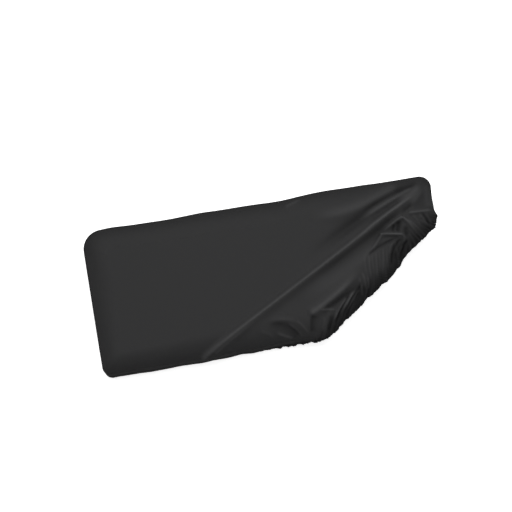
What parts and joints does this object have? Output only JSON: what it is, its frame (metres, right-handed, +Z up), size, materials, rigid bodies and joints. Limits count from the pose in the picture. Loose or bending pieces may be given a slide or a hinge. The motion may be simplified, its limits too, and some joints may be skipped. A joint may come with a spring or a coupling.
{
  "type": "keyboard dust cover",
  "caption": "Fitted stretch dust cover for a desktop music keyboard or rhythm machine, with an elastic hem, one corner pushed back in folds and gathers.",
  "frame": {"origin": "middle of the underside of the cover's top, where it bears on the instrument", "axes": "+X along the long side towards the pushed-back corner, +Y towards the back, +Z up"},
  "size_m": [0.3174, 0.1309, 0.054],
  "materials": {
    "cover_cloth": "matte stretch knit"
  },
  "bodies": {
    "root": {"cover": "cover_cloth"}
  },
  "joints": []
}
